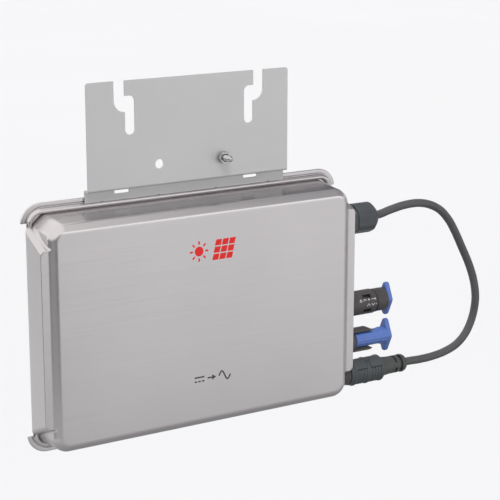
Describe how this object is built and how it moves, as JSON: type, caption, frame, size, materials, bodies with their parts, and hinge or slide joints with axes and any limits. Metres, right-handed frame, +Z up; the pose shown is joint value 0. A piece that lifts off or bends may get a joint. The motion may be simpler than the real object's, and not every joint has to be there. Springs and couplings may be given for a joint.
{
  "type": "solar micro inverter",
  "caption": "Flat stainless inverter housing with a slotted hanging bracket, capped DC connectors and an output cable looped from its gland to a round plug.",
  "frame": {"origin": "back face of the bracket plate, midway between the two hanging slots, at the height of the bolts in them", "axes": "+Y out of the back of the plate towards the rail, +Z up, +X towards the connectors"},
  "size_m": [0.399, 0.0354, 0.266],
  "materials": {
    "cover_steel": "satin drawn stainless sheet",
    "bracket_steel": "satin stamped sheet",
    "zinc": "bright plated",
    "seal_rubber": "soft matt",
    "board_green": "solder mask",
    "ferrite": "matt ceramic",
    "copper_wire": "enamelled wire",
    "can_blue": "glossy sleeve",
    "film_yellow": "glossy",
    "transistor_black": "moulded",
    "spreader_aluminium": "mill finish",
    "thermal_grey": "soft matt",
    "relay_blue": "glossy",
    "gland_grey": "moulded nylon, fine grain",
    "connector_black": "moulded, satin",
    "cap_blue": "moulded, slightly glossy",
    "contact_brass": "tinned brass",
    "cable_grey": "extruded jacket, satin",
    "lead_red": "satin",
    "lead_black": "satin",
    "print_red": "screen print",
    "print_dark": "screen print",
    "print_white": "screen print"
  },
  "bodies": {
    "housing": {"front_cover": "cover_steel", "rear_cover": "cover_steel", "mounting_bracket": "bracket_steel", "bracket_rivet_1": "zinc", "bracket_rivet_2": "zinc", "bracket_rivet_3": "zinc", "bracket_rivet_4": "zinc", "ground_stud": "zinc", "ground_washer": "zinc", "board_standoff_1": "zinc", "board_standoff_2": "zinc", "board_standoff_3": "zinc", "board_standoff_4": "zinc", "board_screw_1": "zinc", "board_screw_2": "zinc", "board_screw_3": "zinc", "board_screw_4": "zinc", "cover_seal": "seal_rubber", "gland_seal": "seal_rubber", "circuit_board": "board_green", "transformer_core": "ferrite", "transformer_winding": "copper_wire", "emi_choke": "copper_wire", "capacitor_1": "can_blue", "capacitor_2": "can_blue", "capacitor_3": "can_blue", "film_capacitor_1": "film_yellow", "film_capacitor_2": "film_yellow", "power_transistor_1": "transistor_black", "power_transistor_2": "transistor_black", "power_transistor_3": "transistor_black", "heat_spreader": "spreader_aluminium", "radio_module": "spreader_aluminium", "thermal_pad": "thermal_grey", "output_relay": "relay_blue", "gland_body": "gland_grey", "gland_lock_nut": "gland_grey", "dc_socket_body": "connector_black", "dc_socket_nut": "connector_black", "dc_plug_body": "connector_black", "dc_plug_nut": "connector_black", "ac_port": "connector_black", "ac_plug_body": "connector_black", "ac_back_nut": "connector_black", "dc_socket_contact": "contact_brass", "dc_plug_pin": "contact_brass", "ac_contacts": "contact_brass", "ac_cable": "cable_grey", "dc_lead_socket": "lead_red", "dc_lead_plug": "lead_black"},
    "gland_nut": {"gland_dome_nut": "gland_grey"},
    "earth_nut": {"ground_nut": "zinc"},
    "socket_cap": {"dc_socket_cap": "cap_blue"},
    "plug_cap": {"dc_plug_cap": "cap_blue"},
    "latch_upper": {"dc_plug_latch_upper": "connector_black"},
    "latch_lower": {"dc_plug_latch_lower": "connector_black"},
    "coupling_ring": {"ac_coupling_ring": "gland_grey"}
  },
  "joints": [
    {"name": "gland_nut_turn", "type": "hinge", "parent": "housing", "child": "gland_nut", "pos_m": [0.145, -0.0113, -0.0855], "axis": [1, 0, 0], "range_deg": [0, 330]},
    {"name": "earth_nut_turn", "type": "hinge", "parent": "housing", "child": "earth_nut", "pos_m": [0.0265, -0.0047, -0.0273], "axis": [0, -1, 0], "range_deg": [0, 330]},
    {"name": "socket_cap_pull", "type": "slide", "parent": "housing", "child": "socket_cap", "axis": [1, 0, 0], "range_m": [0, 0.03]},
    {"name": "plug_cap_pull", "type": "slide", "parent": "housing", "child": "plug_cap", "axis": [1, 0, 0], "range_m": [0, 0.03]},
    {"name": "latch_upper_press", "type": "hinge", "parent": "housing", "child": "latch_upper", "pos_m": [0.1372, -0.0113, -0.1756], "axis": [0, 1, 0], "range_deg": [0, 2], "stiffness_Nm_per_rad": 0.05},
    {"name": "latch_lower_press", "type": "hinge", "parent": "housing", "child": "latch_lower", "pos_m": [0.1372, -0.0113, -0.1922], "axis": [0, -1, 0], "range_deg": [0, 2], "stiffness_Nm_per_rad": 0.05},
    {"name": "coupling_ring_turn", "type": "hinge", "parent": "housing", "child": "coupling_ring", "pos_m": [0.151, -0.0113, -0.2105], "axis": [1, 0, 0], "range_deg": [0, 90]}
  ]
}
